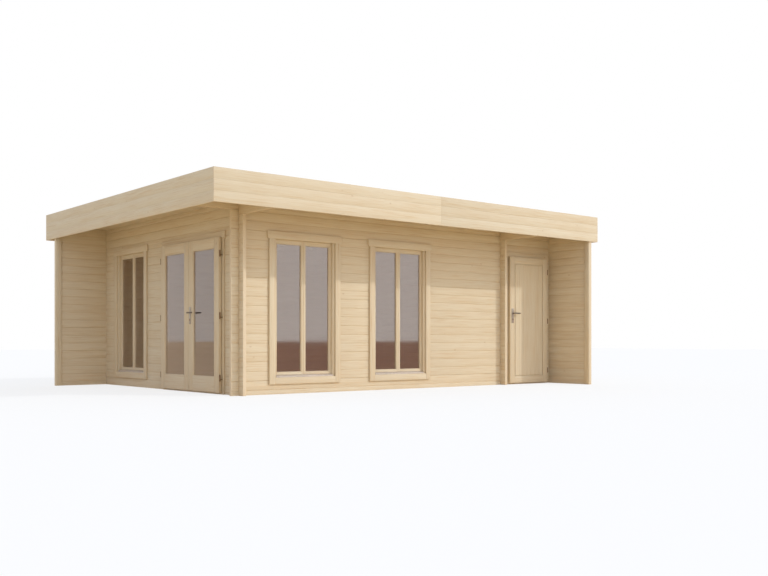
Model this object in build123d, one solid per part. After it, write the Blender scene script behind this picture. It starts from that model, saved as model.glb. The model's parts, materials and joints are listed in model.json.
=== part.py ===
from build123d import *
import os

os.makedirs("parts", exist_ok=True)

# A flat-roofed garden house of planed logs, with a main room, a storeroom and two canopies.
# All sizes are in millimetres. X runs along the long front, Y from front to back, Z up.
# The origin is on the ground under the middle of the roof.

# Logs
log_height = 114
log_thickness = 44
log_end = 100
seam_depth = 5
seam_half_height = 4

# Walls: outer sizes of the house, and heights as shares of a log
house_length = 5646
house_depth = 3955
store_width = 1053
opening_foot_log_share = 1.5
lintel_log_share = 17.5
long_wall_log_share = 20.5
cross_wall_log_share = 20
end_board_width = 80
end_board_thickness = 20

# Roof
left_overhang = 792
log_end_gap = 4
front_overhang = 824
back_overhang = 292
fascia_height = 376
fascia_thickness = 20
fascia_drop = 181
deck_thickness = 19
felt_thickness = 4
kerb_width = 40
kerb_height = 60
kerb_gap = 2
joist_width = 44
room_joists = 5
store_joists = 1

# Floor
bearer_width = 44
bearer_height = 44
bearers_per_room = 8
floor_thickness = 26

# Windows, three alike: their middles are shares of the wall's length, from the front left corner
front_window_place_shares = (0.17, 0.448)
left_window_place_share = 0.7636
window_width = 940
settling_gap = 42
window_jamb = 40
window_foot = 34
window_frame_depth = 84
drip_height = 32
drip_nose = 10
sash_setback = 36
sash_thickness = 40
sash_stile = 35
sash_top_rail = 56
sash_bottom_rail = 36
sash_gap = 2
glass_thickness = 6
window_casing_width = 80
window_casing_thickness = 25
window_casing_reveal = 30
window_header_height = 93
window_bottom_board = 82
header_ear = 25
header_round = 18

# Doors: a glazed pair in the left wall and a single leaf in the storeroom front
double_door_place_share = 0.2902
double_leaf_width = 781
meeting_gap = 6
leaf_thickness = 40
leaf_foot = 23
leaf_gap = 5
leaf_overlap = 25
door_jamb = 50
door_casing_width = 60
door_casing_thickness = 20
door_casing_reveal = 3
door_header_height = 95
store_header_gap = 43.5
hinge_stile = 125
meeting_stile = 122
leaf_top_rail = 133
leaf_bottom_rail = 197
panel_margin = 100
panel_recess = 6

# Hinges: a barrel in two halves, each with a rod into the wood
hinge_radius = 9
hinge_half_length = 40
hinge_split = 0.5
hinge_pin_radius = 4
hinge_pin_length = 34
hinge_rod_radius = 4.5
hinge_inset = 12
low_hinge_height = 180
high_hinge_drop = 200
running_clearance = 0.05

# Handles: a plate on each face, and two levers on one spindle
handle_height = 1017
store_handle_height = 1075
handle_inset = 50
plate_width = 40
plate_height = 217
plate_above_spindle = 72
plate_thickness = 8
plate_round = 6
spindle_radius = 4
spindle_hole_clearance = 4
neck_radius = 9
neck_length = 32
neck_gap = 0.3
lever_length = 134
lever_height = 18
lever_thickness = 12

# Places worked out from the sizes above
right_overhang = log_end + log_end_gap + fascia_thickness
roof_length = left_overhang + house_length + right_overhang
roof_depth = front_overhang + house_depth + back_overhang
left_face = left_overhang - roof_length / 2
right_face = left_face + house_length
front_face = front_overhang - roof_depth / 2
back_face = front_face + house_depth
partition_right = right_face - log_thickness - store_width
partition_left = partition_right - log_thickness
roof_x = (-roof_length / 2, roof_length / 2)
roof_y = (-roof_depth / 2, roof_depth / 2)
inner_roof_x = (roof_x[0] + fascia_thickness, roof_x[1] - fascia_thickness)
inner_roof_y = (roof_y[0] + fascia_thickness, roof_y[1] - fascia_thickness)

opening_foot = opening_foot_log_share * log_height
lintel = lintel_log_share * log_height
long_wall_top = long_wall_log_share * log_height
cross_wall_top = cross_wall_log_share * log_height
frame_top = lintel - settling_gap
floor_top = bearer_height + floor_thickness
deck_top = long_wall_top + deck_thickness
felt_top = deck_top + felt_thickness
fascia_foot = long_wall_top - fascia_drop

casing_face = -door_casing_thickness
leaf_depth = (casing_face - leaf_gap - leaf_thickness, casing_face - leaf_gap)
hinge_depth = leaf_depth[0] + hinge_radius
leaf_top = frame_top - door_jamb + leaf_overlap
leaf_height = (leaf_foot, leaf_top)

double_middle = front_face + double_door_place_share * house_depth
right_leaf_span = (double_middle - meeting_gap / 2 - double_leaf_width, double_middle - meeting_gap / 2)
left_leaf_span = (double_middle + meeting_gap / 2, double_middle + meeting_gap / 2 + double_leaf_width)
store_middle = partition_right + store_width / 2
header_past_leaf = door_casing_width + door_casing_reveal - leaf_overlap + header_ear
store_leaf_half = store_width / 2 - header_past_leaf - store_header_gap
store_leaf_span = (store_middle - store_leaf_half, store_middle + store_leaf_half)

low_corner = (Align.MIN, Align.MIN, Align.MIN)
on_base = (Align.CENTER, Align.CENTER, Align.MIN)


# Places and plain shapes

def in_house(x, y, z):
    """A point of the house's own frame."""
    return Vector(x, y, z)


def on_front(along, depth, z):
    """A point by its place along the front wall and its depth behind the wall's outer face."""
    return Vector(along, front_face + depth, z)


def on_left(along, depth, z):
    """A point by its place along the left wall and its depth behind the wall's outer face."""
    return Vector(left_face + depth, along, z)


def block(site, along, depth, height):
    """A rectangular block between three pairs of limits."""
    low = site(along[0], depth[0], height[0])
    size = site(along[1], depth[1], height[1]) - low
    return Pos(low) * Box(size.X, size.Y, size.Z, align=low_corner)


def rod(start, end, radius):
    """A round bar from one point to another."""
    return Plane(start, z_dir=end - start) * Cylinder(radius, (end - start).length, align=on_base)


def widen(span, margin):
    """A pair of limits moved outwards by a margin, or inwards by a negative one."""
    return (span[0] - margin, span[1] + margin)


def around(middle, width):
    """A pair of limits either side of a middle."""
    return (middle - width / 2, middle + width / 2)


def end_strips(span, width):
    """The two strips of a given width just inside a pair of limits."""
    return ((span[0], span[0] + width), (span[1] - width, span[1]))


def spread(low, high, count):
    """Evenly spaced places strictly between two limits."""
    step = (high - low) / (count + 1)
    return [low + step * (index + 1) for index in range(count)]


def save(name, shapes):
    """Write one node of the house, as one solid or several that stand apart."""
    solids = [solid for shape in shapes for solid in shape.solids()]
    export_step(Compound(solids), f"parts/{name}.step")


# Log walls

def log_outline(low, high, first_seam):
    """A stack of logs seen on end: both faces have a V seam wherever two logs meet."""
    outer = []
    seam = first_seam
    while seam < high + seam_half_height:
        if abs(seam - low) < seam_half_height:
            outer += [(seam_depth, low), (0, low + seam_half_height)]
        elif abs(seam - high) < seam_half_height:
            outer += [(0, high - seam_half_height), (seam_depth, high)]
        elif seam > low:
            outer += [(0, seam - seam_half_height), (seam_depth, seam), (0, seam + seam_half_height)]
        seam += log_height
    if not outer or outer[0][1] > low:
        outer.insert(0, (0, low))
    if outer[-1][1] < high:
        outer.append((0, high))
    inner = [(log_thickness - across, height) for across, height in reversed(outer)]
    return outer + inner


def long_logs(span, y_low, height):
    """Logs that run along X. Their lowest log is half a log high, so their seams sit half a log up."""
    section = Plane((span[0], y_low, 0), x_dir=(0, 1, 0), z_dir=(1, 0, 0))
    outline = Polygon(*log_outline(height[0], height[1], log_height / 2), align=None)
    return extrude(section * outline, amount=span[1] - span[0], dir=(1, 0, 0))


def cross_logs(x_low, span, height):
    """Logs that run along Y, from a whole log up."""
    section = Plane((x_low + log_thickness, span[0], 0), x_dir=(-1, 0, 0), z_dir=(0, 1, 0))
    outline = Polygon(*log_outline(height[0], height[1], log_height), align=None)
    return extrude(section * outline, amount=span[1] - span[0], dir=(0, 1, 0))


def crossing_bands(x_low, y_low, first_middle):
    """At a log crossing, the half-log-high bands that one of the two walls fills."""
    x_span = (x_low, x_low + log_thickness)
    y_span = (y_low, y_low + log_thickness)
    bands = []
    middle = first_middle
    while middle <= cross_wall_top + seam_half_height:
        band = (max(0, middle - log_height / 4), middle + log_height / 4)
        bands.append(block(in_house, x_span, y_span, band))
        middle += log_height
    return bands


cross_wall_lows = (left_face, partition_left, right_face - log_thickness)
long_wall_lows = (front_face, back_face - log_thickness)
crossings = [(x_low, y_low) for x_low in cross_wall_lows for y_low in long_wall_lows]
filled_by_long = [band for place in crossings for band in crossing_bands(*place, 0)]
filled_by_cross = [band for place in crossings for band in crossing_bands(*place, log_height / 2)]


def roof_joist_lows():
    """The low X limit of each roof joist: at the left edge, on every cross wall and between them."""
    left_wall, partition, right_wall = cross_wall_lows
    between = spread(left_wall, partition, room_joists) + spread(partition, right_wall, store_joists)
    return [inner_roof_x[0], *cross_wall_lows, *between]


def roof_joist(x_low):
    return block(in_house, (x_low, x_low + joist_width), inner_roof_y, (cross_wall_top, long_wall_top))


joists = [roof_joist(x_low) for x_low in roof_joist_lows()]


def notched_long(span, y_low, height):
    """Long logs with their crossings and joist seats cut out."""
    return long_logs(span, y_low, height) - (filled_by_cross + joists)


def notched_cross(x_low, span, height):
    """Cross logs with their crossings cut out."""
    return cross_logs(x_low, span, height) - filled_by_long


# Openings in the walls

front_windows = [left_face + share * house_length for share in front_window_place_shares]
left_window = front_face + left_window_place_share * house_depth
window_sites = [(on_front, middle, Axis.Y) for middle in front_windows] + [(on_left, left_window, Axis.X)]
door_margin = door_jamb - leaf_overlap
double_opening = widen((right_leaf_span[0], left_leaf_span[1]), door_margin)
store_opening = widen(store_leaf_span, door_margin)
window_openings = [around(middle, window_width) for middle in front_windows]
left_window_opening = around(left_window, window_width)
long_span = (left_face - log_end, right_face + log_end)
cross_span = (front_face - log_end, back_face + log_end)


def front_wall():
    """Front wall in layers: base, piers beside the openings, upper logs and the long top log."""
    below = (0, opening_foot)
    beside = (opening_foot, lintel)
    save("front_base_logs", [notched_long((long_span[0], store_opening[0]), front_face, below)])
    first, second = window_openings
    pier_spans = [(long_span[0], first[0]), (first[1], second[0]), (second[1], store_opening[0])]
    piers = [notched_long(span, front_face, beside) for span in pier_spans]
    piers.append(notched_long((store_opening[1], long_span[1]), front_face, (0, lintel)))
    save("front_piers", piers)
    top_log_foot = long_wall_top - log_height
    save("front_upper_logs", [notched_long(long_span, front_face, (lintel, top_log_foot))])
    top_span = (inner_roof_x[0], long_span[1])
    save("front_top_log", [notched_long(top_span, front_face, (top_log_foot, long_wall_top))])


def left_wall():
    """Left wall: base under the window, piers, upper logs and the top log that carries the canopy."""
    beside = (opening_foot, lintel)
    save("left_base_logs", [notched_cross(left_face, (double_opening[1], cross_span[1]), (0, opening_foot))])
    piers = [notched_cross(left_face, (cross_span[0], double_opening[0]), (0, lintel))]
    for span in ((double_opening[1], left_window_opening[0]), (left_window_opening[1], cross_span[1])):
        piers.append(notched_cross(left_face, span, beside))
    save("left_piers", piers)
    top_log_foot = cross_wall_top - log_height
    save("left_upper_logs", [notched_cross(left_face, cross_span, (lintel, top_log_foot))])
    top_span = (inner_roof_y[0], cross_span[1])
    save("left_top_log", [notched_cross(left_face, top_span, (top_log_foot, cross_wall_top))])


def other_walls():
    """Partition, right end wall with its wing, and back wall with its wind screen."""
    top_log_foot = cross_wall_top - log_height
    wing_span = (inner_roof_y[0], cross_span[1])
    save("partition_wall", [notched_cross(partition_left, cross_span, (0, top_log_foot))])
    save("partition_top_log", [notched_cross(partition_left, wing_span, (top_log_foot, cross_wall_top))])
    right_low = right_face - log_thickness
    save("right_end_wall", [notched_cross(right_low, wing_span, (0, cross_wall_top))])
    back_span = (inner_roof_x[0], long_span[1])
    save("back_wall", [notched_long(back_span, back_face - log_thickness, (0, long_wall_top))])
    screen_front = back_face - log_thickness
    screen_end = (inner_roof_x[0], inner_roof_x[0] + end_board_width)
    screen_board = block(in_house, screen_end, (screen_front - end_board_thickness, screen_front),
                         (0, cross_wall_top))
    wing_end = (inner_roof_y[0], inner_roof_y[0] + end_board_width)
    wing_board = block(in_house, (right_low - end_board_thickness, right_low), wing_end, (0, cross_wall_top))
    save("end_boards", [screen_board, wing_board])


# Floor

def floor():
    """Boards on bearers in both rooms."""
    depth = (front_face + log_thickness, back_face - log_thickness)
    rooms = ((left_face + log_thickness, partition_left), (partition_right, right_face - log_thickness))
    bearers = []
    for room in rooms:
        for middle in spread(depth[0], depth[1], bearers_per_room):
            bearers.append(block(in_house, room, around(middle, bearer_width), (0, bearer_height)))
    save("floor_bearers", bearers)
    boards = [block(in_house, room, depth, (bearer_height, floor_top)) for room in rooms]
    save("floor_boards", boards)


# Roof

def roof():
    """Joists, deck, felt, a kerb round the felt and a tall fascia round it all."""
    save("roof_joists", joists)
    save("roof_deck", [block(in_house, inner_roof_x, inner_roof_y, (long_wall_top, deck_top))])
    save("roof_felt", [block(in_house, inner_roof_x, inner_roof_y, (deck_top, felt_top))])
    kerb_z = (felt_top, felt_top + kerb_height)
    kerbs = [block(in_house, inner_roof_x, strip, kerb_z) for strip in end_strips(inner_roof_y, kerb_width)]
    short = widen(inner_roof_y, -kerb_width - kerb_gap)
    kerbs += [block(in_house, strip, short, kerb_z) for strip in end_strips(inner_roof_x, kerb_width)]
    save("roof_kerbs", kerbs)
    fascia_z = (fascia_foot, fascia_foot + fascia_height)
    save("long_fascias", [block(in_house, roof_x, strip, fascia_z)
                          for strip in end_strips(roof_y, fascia_thickness)])
    save("side_fascias", [block(in_house, strip, inner_roof_y, fascia_z)
                          for strip in end_strips(roof_x, fascia_thickness)])


# Windows

window_clear_half = window_width / 2 - window_jamb
drip_foot = opening_foot + window_foot
drip_top = drip_foot + drip_height
window_clear_top = frame_top - window_jamb
casing_half = window_clear_half + window_casing_reveal


def window_frame(site, middle):
    """Frame in the wall's opening, with a raised step behind the drip rail."""
    ring = block(site, around(middle, window_width), (0, window_frame_depth), (opening_foot, frame_top))
    clear = (middle - window_clear_half, middle + window_clear_half)
    hole = block(site, clear, (0, window_frame_depth), (drip_top, window_clear_top))
    seat = block(site, clear, (0, sash_setback), (drip_foot, drip_top))
    return ring - hole - seat


def window_sash(site, span):
    """One casement: stiles and rails round its glass."""
    depth = (sash_setback, sash_setback + sash_thickness)
    height = (drip_top, window_clear_top)
    pane = (height[0] + sash_bottom_rail, height[1] - sash_top_rail)
    hole = block(site, widen(span, -sash_stile), depth, pane)
    glass_low = sash_setback + (sash_thickness - glass_thickness) / 2
    glass = block(site, widen(span, -sash_stile), (glass_low, glass_low + glass_thickness), pane)
    return block(site, span, depth, height) - hole, glass


def header_board(site, span, thickness, height, depth_axis):
    """A head casing board with rounded lower corners."""
    board = block(site, span, (-thickness, 0), height)
    lower_corners = board.edges().filter_by(depth_axis).group_by(Axis.Z)[0]
    return fillet(lower_corners, header_round)


def windows():
    frames, sashes, panes, drips, sides, headers, bottoms = [], [], [], [], [], [], []
    for site, middle, depth_axis in window_sites:
        clear = (middle - window_clear_half, middle + window_clear_half)
        frames.append(window_frame(site, middle))
        for span in ((clear[0], middle - sash_gap / 2), (middle + sash_gap / 2, clear[1])):
            sash, glass = window_sash(site, span)
            sashes.append(sash)
            panes.append(glass)
        drips.append(block(site, clear, (-drip_nose, sash_setback), (drip_foot, drip_top)))
        inner = (middle - casing_half, middle + casing_half)
        outer = widen(inner, window_casing_width)
        casing_depth = (-window_casing_thickness, 0)
        board_foot = drip_foot - window_bottom_board
        for strip in end_strips(outer, window_casing_width):
            sides.append(block(site, strip, casing_depth, (board_foot, window_clear_top)))
        bottoms.append(block(site, inner, casing_depth, (board_foot, drip_foot)))
        header_span = widen(outer, header_ear)
        header_z = (window_clear_top, window_clear_top + window_header_height)
        headers.append(header_board(site, header_span, window_casing_thickness, header_z, depth_axis))
    save("window_frames", frames)
    save("window_sashes", sashes)
    save("window_glass", panes)
    save("window_drip_rails", drips)
    save("window_side_casings", sides)
    save("window_headers", headers)
    save("window_bottom_boards", bottoms)


# Doors

def door_frame(site, opening):
    """Jambs, head and threshold in the wall's opening, with the threshold out to the casing's face."""
    clear = widen(opening, -door_jamb)
    ring = block(site, opening, (0, log_thickness), (0, frame_top))
    hole = block(site, clear, (0, log_thickness), (floor_top, frame_top - door_jamb))
    nose = block(site, clear, (casing_face, 0), (0, floor_top))
    return ring - hole + nose


def door_casings(site, opening, depth_axis):
    """Two side boards and a header round a doorway."""
    inner = widen(opening, door_casing_reveal - door_jamb)
    outer = widen(inner, door_casing_width)
    head_foot = frame_top - door_jamb + door_casing_reveal
    sides = [block(site, strip, (casing_face, 0), (0, head_foot))
             for strip in end_strips(outer, door_casing_width)]
    header_z = (head_foot, head_foot + door_header_height)
    header = header_board(site, widen(outer, header_ear), door_casing_thickness, header_z, depth_axis)
    return sides, header


def hinge_heights():
    low = leaf_foot + low_hinge_height
    high = leaf_top - high_hinge_drop
    return (low, (low + high) / 2, high)


def hinges(site, edge, towards_leaf):
    """Drilled-in barrel hinges on one leaf edge: the frame halves with their pins, and the leaf halves."""
    along = edge - towards_leaf * hinge_inset
    frame_halves, leaf_halves = [], []
    for middle in hinge_heights():
        foot = site(along, hinge_depth, middle - hinge_half_length)
        split_low = site(along, hinge_depth, middle - hinge_split / 2)
        split_high = site(along, hinge_depth, middle + hinge_split / 2)
        top = site(along, hinge_depth, middle + hinge_half_length)
        pin_top = site(along, hinge_depth, middle + hinge_pin_length)
        frame_rod_z = middle - hinge_half_length / 2
        leaf_rod_z = middle + hinge_half_length / 2
        frame_rod = rod(site(along, hinge_depth, frame_rod_z), site(along, casing_face, frame_rod_z),
                        hinge_rod_radius)
        leaf_rod = rod(site(along, hinge_depth, leaf_rod_z), site(edge, hinge_depth, leaf_rod_z),
                       hinge_rod_radius)
        pin = rod(foot, pin_top, hinge_pin_radius)
        bore = rod(split_high, pin_top, hinge_pin_radius + running_clearance)
        frame_halves.append(rod(foot, split_low, hinge_radius) + pin + frame_rod)
        leaf_halves.append(rod(split_high, top, hinge_radius) + leaf_rod - bore)
    return frame_halves, leaf_halves


def spindle_bore(site, along, height):
    """The hole through a leaf for the lever's spindle."""
    radius = spindle_radius + spindle_hole_clearance
    return rod(site(along, leaf_depth[0], height), site(along, leaf_depth[1], height), radius)


def handle_plates(site, along, height, depth_axis):
    """A plate on each face of the leaf, bored for the spindle."""
    plates = []
    plate_z = (height + plate_above_spindle - plate_height, height + plate_above_spindle)
    for depth in ((leaf_depth[0] - plate_thickness, leaf_depth[0]),
                  (leaf_depth[1], leaf_depth[1] + plate_thickness)):
        plate = block(site, around(along, plate_width), depth, plate_z)
        plate = fillet(plate.edges().filter_by(depth_axis), plate_round)
        bore = rod(site(along, depth[0], height), site(along, depth[1], height),
                   spindle_radius + running_clearance)
        plates.append(plate - bore)
    return plates


def lever_pair(site, along, height, towards_hinge):
    """Outer and inner lever on one spindle: a round neck and a flat arm with round ends on each."""
    outer_plate = leaf_depth[0] - plate_thickness
    inner_plate = leaf_depth[1] + plate_thickness
    outer_end = outer_plate - neck_gap - neck_length
    inner_end = inner_plate + neck_gap + neck_length
    lever = rod(site(along, outer_end, height), site(along, inner_end, height), spindle_radius)
    lever += rod(site(along, outer_end, height), site(along, outer_plate - neck_gap, height), neck_radius)
    lever += rod(site(along, inner_plate + neck_gap, height), site(along, inner_end, height), neck_radius)
    tip = along + towards_hinge * (lever_length - lever_height)
    arm_span = (min(along, tip), max(along, tip))
    arm_z = around(height, lever_height)
    for depth in ((outer_end - lever_thickness, outer_end), (inner_end, inner_end + lever_thickness)):
        lever += block(site, arm_span, depth, arm_z)
        for place in arm_span:
            lever += rod(site(place, depth[0], height), site(place, depth[1], height), lever_height / 2)
    return lever


def glazed_leaf(site, hinge_edge, meeting_edge):
    """A leaf of the double door: stiles and rails round one tall pane."""
    towards = 1 if meeting_edge > hinge_edge else -1
    pane_ends = (hinge_edge + towards * hinge_stile, meeting_edge - towards * meeting_stile)
    pane_span = (min(pane_ends), max(pane_ends))
    pane_z = (leaf_foot + leaf_bottom_rail, leaf_top - leaf_top_rail)
    leaf_span = (min(hinge_edge, meeting_edge), max(hinge_edge, meeting_edge))
    leaf = block(site, leaf_span, leaf_depth, leaf_height)
    glass_low = leaf_depth[0] + (leaf_thickness - glass_thickness) / 2
    glass = block(site, pane_span, (glass_low, glass_low + glass_thickness), pane_z)
    return leaf - block(site, pane_span, leaf_depth, pane_z), glass


def store_leaf(site, span):
    """The boarded leaf: a sunk panel inside a plain margin on both faces."""
    leaf = block(site, span, leaf_depth, leaf_height)
    panel_span = widen(span, -panel_margin)
    panel_z = (leaf_foot + panel_margin, leaf_top - panel_margin)
    for depth in end_strips(leaf_depth, panel_recess):
        leaf -= block(site, panel_span, depth, panel_z)
    return leaf


def doors():
    save("double_door_frame", [door_frame(on_left, double_opening)])
    save("store_door_frame", [door_frame(on_front, store_opening)])
    double_sides, double_header = door_casings(on_left, double_opening, Axis.X)
    store_sides, store_header = door_casings(on_front, store_opening, Axis.Y)
    save("door_side_casings", double_sides + store_sides)
    save("door_headers", [double_header, store_header])

    right_frame_hinges, right_leaf_hinges = hinges(on_left, right_leaf_span[0], 1)
    left_frame_hinges, left_leaf_hinges = hinges(on_left, left_leaf_span[1], -1)
    store_frame_hinges, store_leaf_hinges = hinges(on_front, store_leaf_span[1], -1)
    save("door_frame_hinges", right_frame_hinges + left_frame_hinges + store_frame_hinges)
    save("right_leaf_hinges", right_leaf_hinges)
    save("left_leaf_hinges", left_leaf_hinges)
    save("store_leaf_hinges", store_leaf_hinges)

    spindle = right_leaf_span[1] - handle_inset
    right_leaf, right_glass = glazed_leaf(on_left, right_leaf_span[0], right_leaf_span[1])
    save("right_leaf", [right_leaf - spindle_bore(on_left, spindle, handle_height)])
    save("right_leaf_glass", [right_glass])
    save("right_leaf_handle_plates", handle_plates(on_left, spindle, handle_height, Axis.X))
    save("right_leaf_lever", [lever_pair(on_left, spindle, handle_height, -1)])

    left_leaf, left_glass = glazed_leaf(on_left, left_leaf_span[1], left_leaf_span[0])
    save("left_leaf", [left_leaf])
    save("left_leaf_glass", [left_glass])

    store_spindle = store_leaf_span[0] + handle_inset
    leaf = store_leaf(on_front, store_leaf_span)
    save("store_leaf", [leaf - spindle_bore(on_front, store_spindle, store_handle_height)])
    save("store_leaf_handle_plates", handle_plates(on_front, store_spindle, store_handle_height, Axis.Y))
    save("store_leaf_lever", [lever_pair(on_front, store_spindle, store_handle_height, 1)])


front_wall()
left_wall()
other_walls()
floor()
roof()
windows()
doors()
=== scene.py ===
import json
import math

import bpy
from bpy.props import FloatProperty, FloatVectorProperty, IntProperty, PointerProperty
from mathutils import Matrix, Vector

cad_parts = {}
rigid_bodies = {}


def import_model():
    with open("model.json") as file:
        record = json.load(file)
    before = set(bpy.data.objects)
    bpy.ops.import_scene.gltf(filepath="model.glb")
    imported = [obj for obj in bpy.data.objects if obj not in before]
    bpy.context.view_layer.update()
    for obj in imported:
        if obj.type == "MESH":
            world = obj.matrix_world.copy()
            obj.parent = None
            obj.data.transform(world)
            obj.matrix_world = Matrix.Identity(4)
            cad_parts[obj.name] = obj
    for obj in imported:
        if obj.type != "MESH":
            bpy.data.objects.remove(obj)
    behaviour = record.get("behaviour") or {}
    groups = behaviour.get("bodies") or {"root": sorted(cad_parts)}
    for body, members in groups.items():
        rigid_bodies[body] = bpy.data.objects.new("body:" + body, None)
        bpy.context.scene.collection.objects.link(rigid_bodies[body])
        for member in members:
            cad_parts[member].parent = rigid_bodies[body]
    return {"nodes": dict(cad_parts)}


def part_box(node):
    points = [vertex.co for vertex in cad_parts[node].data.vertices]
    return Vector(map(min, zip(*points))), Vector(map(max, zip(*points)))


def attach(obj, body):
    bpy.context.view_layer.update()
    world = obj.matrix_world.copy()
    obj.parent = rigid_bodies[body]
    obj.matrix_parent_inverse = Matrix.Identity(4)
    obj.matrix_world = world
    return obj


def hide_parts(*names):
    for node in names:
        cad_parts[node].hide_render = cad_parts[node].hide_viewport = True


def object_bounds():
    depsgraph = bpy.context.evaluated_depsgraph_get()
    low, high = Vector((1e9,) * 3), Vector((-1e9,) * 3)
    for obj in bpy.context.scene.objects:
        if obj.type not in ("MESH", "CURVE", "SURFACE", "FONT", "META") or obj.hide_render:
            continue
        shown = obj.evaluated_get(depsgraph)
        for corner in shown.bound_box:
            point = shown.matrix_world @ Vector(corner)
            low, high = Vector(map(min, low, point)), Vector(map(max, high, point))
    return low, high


bl_info = {
    "name": "Log garden house",
    "version": (1, 0, 0),
    "blender": (4, 5, 0),
    "location": "3D View > Sidebar > Garden House",
    "description": "Planed logs, boards, joinery, glazing, fittings and a plain stage for a garden house",
    "category": "Object",
}

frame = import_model()
cad_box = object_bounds()

ALONG_X, ALONG_Y, UPRIGHT = 0, 1, 2
MILLIMETRE = 0.001


# Settings that a user would change

def linear(hex_code):
    """An sRGB hex colour as linear red, green and blue."""
    shares = [int(hex_code[at:at + 2], 16) / 255 for at in (0, 2, 4)]
    return [share / 12.92 if share <= 0.04045 else ((share + 0.055) / 1.055) ** 2.4 for share in shares]


def length(name, millimetres, description):
    return FloatProperty(name=name, description=description, default=millimetres * MILLIMETRE,
                         min=0.0, subtype="DISTANCE", unit="LENGTH", precision=4)


def colour(name, hex_code, description):
    return FloatVectorProperty(name=name, description=description, default=linear(hex_code),
                               size=3, min=0.0, max=1.0, subtype="COLOR")


def angle(name, degrees, description):
    return FloatProperty(name=name, description=description, default=math.radians(degrees),
                         subtype="ANGLE", unit="ROTATION")


def strength(name, value, description):
    return FloatProperty(name=name, description=description, default=value, min=0.0)


class HouseSizes(bpy.types.PropertyGroup):
    """Sizes of what is worked into the timber and laid on the roof."""
    log_pitch: length("Log height", 114, "Height of one log, from seam to seam")
    planed_edge: length("Planed edge", 2, "Rounding on planed logs and boards")
    seam_edge: length("Seam edge", 1.4, "Rounding of the logs at their V seams")
    board_vee: length("Board V", 2.5, "Chamfer along the edges of matched boards")
    fascia_courses: IntProperty(name="Fascia boards", description="Boards above each other in the fascia",
                                default=3, min=1)
    fascia_joint_share: FloatProperty(name="Fascia joint", default=0.5066, min=0.0, max=1.0, subtype="FACTOR",
                                      description="Where the long fascias are butted, from their left end")
    deck_board: length("Roof board", 96, "Width of a roof deck board")
    floor_board: length("Floor board", 112, "Width of a floor board")
    panel_board: length("Door board", 91, "Width of an upright board in the storeroom door")
    door_jamb: length("Door jamb", 50, "Thickness of a door frame's jambs and head")
    door_margin: length("Door margin", 100, "Width of the plain margin round the boarded panel")
    panel_recess: length("Panel recess", 2, "How far the boarded panel lies behind its margin")
    panel_thickness: length("Panel thickness", 10, "Thickness of the boards on each face of the panel")
    panel_groove: length("Panel groove", 14, "Width of the groove between the panel and its margin")
    bead: length("Glazing bead", 11, "Width of the bead that holds the glass")
    bead_setback: length("Bead setback", 3, "How far the bead lies behind the face of its sash")
    drip_fall: length("Drip fall", 18, "How far the drip rail falls towards its nose")
    felt_strip: length("Felt strip", 1000, "Width of a strip of roofing felt")
    felt_lap: length("Felt lap", 90, "Width of the lap between two strips")
    felt_lap_rise: length("Lap rise", 2.5, "How far a welded lap stands above the strip under it")
    kerb_round: length("Kerb rounding", 9, "Rounding of the felt where it turns over the kerb")
    metal_edge: length("Metal edge", 1, "Rounding on plates and hinges")
    lever_round: length("Lever rounding", 4.5, "Rounding of the lever's arm")
    lock_drop: length("Lock drop", 92, "How far the lock cylinder lies below the spindle")
    lock_radius: length("Lock radius", 8.5, "Half the width of the lock cylinder")
    lock_height: length("Lock height", 33, "Height of the lock cylinder")
    screw_radius: length("Screw radius", 4, "Radius of a plate screw's head")
    screw_inset: length("Screw inset", 12, "How far a plate screw lies from the end of its plate")
    stud_rise: length("Stud rise", 2, "How far the lock and the screws stand above their plate")


class HouseColours(bpy.types.PropertyGroup):
    """Colours of the materials, as they look in plain white light."""
    sapwood: colour("Sapwood", "E2D7BE", "The pale ground of planed spruce")
    latewood: colour("Latewood", "C8A471", "The darker streaks in planed spruce")
    knot: colour("Knot", "A9804F", "The heart of a knot")
    end_grain: colour("End grain", "E8DAC0", "Sawn ends of logs and boards")
    felt: colour("Felt", "4A4B4C", "Slate granules on the roofing felt")
    felt_fleck: colour("Felt fleck", "77797A", "The paler granules among them")
    steel: colour("Steel", "B6B0A8", "Satin stainless steel of the handle plates")
    steel_wear: colour("Handled steel", "9C968E", "Where hands have dulled the steel")
    lever: colour("Lever", "6A6158", "Burnished steel of the levers")
    lever_wear: colour("Worn lever", "857B71", "Where hands have rubbed the levers")
    browned: colour("Browned steel", "836549", "Browned steel of the hinges")
    browned_wear: colour("Rubbed steel", "9A7C5E", "Where the browning is rubbed")
    aluminium: colour("Aluminium", "CFC5BB", "Mill finish aluminium of the drip rails")
    aluminium_wear: colour("Dulled aluminium", "B5ABA1", "Where rain has dulled the aluminium")
    pane: colour("Pane", "F3F1EE", "The faint tone of clear coated glass")
    pane_mirror: colour("Pane mirror", "FFF3EF", "The tone of what the coating mirrors")
    keyway: colour("Keyway", "1C1A18", "The shadow inside the key hole")
    stage: colour("Stage", "FAFAF9", "The pale studio floor")
    bounce: colour("Bounce", "ECD6AE", "What the floor throws back to the house")
    # Painted reflection: the next two colours tint a glowing plane that only panes and metal mirror, as
    # ground
    earth: colour("Earth", "DEB2A0", "The ground that the panes mirror")
    pale_earth: colour("Pale earth", "EAD6BE", "The paler ground to the left of the house")


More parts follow.
